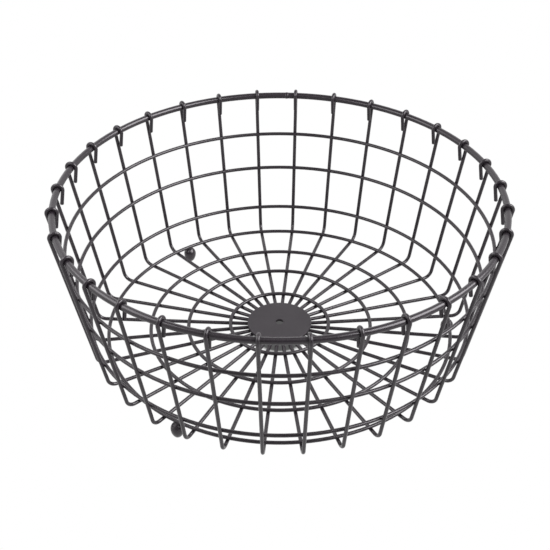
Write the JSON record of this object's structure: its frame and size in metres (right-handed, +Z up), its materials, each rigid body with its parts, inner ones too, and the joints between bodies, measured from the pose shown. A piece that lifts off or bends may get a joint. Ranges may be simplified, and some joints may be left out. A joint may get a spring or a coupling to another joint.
{
  "type": "wire egg basket",
  "caption": "Round flared wire basket for collecting eggs: radial ribs hooked over a thick rim ring, welded wall hoops and base rings, a flat hub disc and small drop-shaped feet.",
  "frame": {"origin": "on the floor, under the middle of the basket, level with the soles of the feet", "axes": "+Z up along the basket's axis; +X from the axis through rib_01, close to foot_right; -Y towards the viewer, so foot_back_left is behind and foot_front_left in front"},
  "size_m": [0.3404, 0.3404, 0.1345],
  "materials": {
    "wire_coat": "satin charcoal-black powder coat",
    "rim_coat": "satin charcoal-black powder coat, a little glossier on the thick rim",
    "disc_coat": "satin charcoal powder coat with a fine even texture",
    "foot_coat": "semi-gloss black powder coat"
  },
  "bodies": {
    "root": {"rim_ring": "rim_coat", "rib_01": "wire_coat", "rib_02": "wire_coat", "rib_03": "wire_coat", "rib_04": "wire_coat", "rib_05": "wire_coat", "rib_06": "wire_coat", "rib_07": "wire_coat", "rib_08": "wire_coat", "rib_09": "wire_coat", "rib_10": "wire_coat", "rib_11": "wire_coat", "rib_12": "wire_coat", "rib_13": "wire_coat", "rib_14": "wire_coat", "rib_15": "wire_coat", "rib_16": "wire_coat", "rib_17": "wire_coat", "rib_18": "wire_coat", "rib_19": "wire_coat", "rib_20": "wire_coat", "rib_21": "wire_coat", "rib_22": "wire_coat", "rib_23": "wire_coat", "rib_24": "wire_coat", "rib_25": "wire_coat", "rib_26": "wire_coat", "rib_27": "wire_coat", "rib_28": "wire_coat", "rib_29": "wire_coat", "rib_30": "wire_coat", "rib_31": "wire_coat", "rib_32": "wire_coat", "wall_hoop_lower": "wire_coat", "wall_hoop_middle": "wire_coat", "wall_hoop_upper": "wire_coat", "base_ring_inner": "wire_coat", "base_ring_mid_inner": "wire_coat", "base_ring_mid_outer": "wire_coat", "base_ring_outer": "wire_coat", "hub_disc": "disc_coat", "foot_right": "foot_coat", "foot_back_left": "foot_coat", "foot_front_left": "foot_coat"}
  },
  "joints": []
}
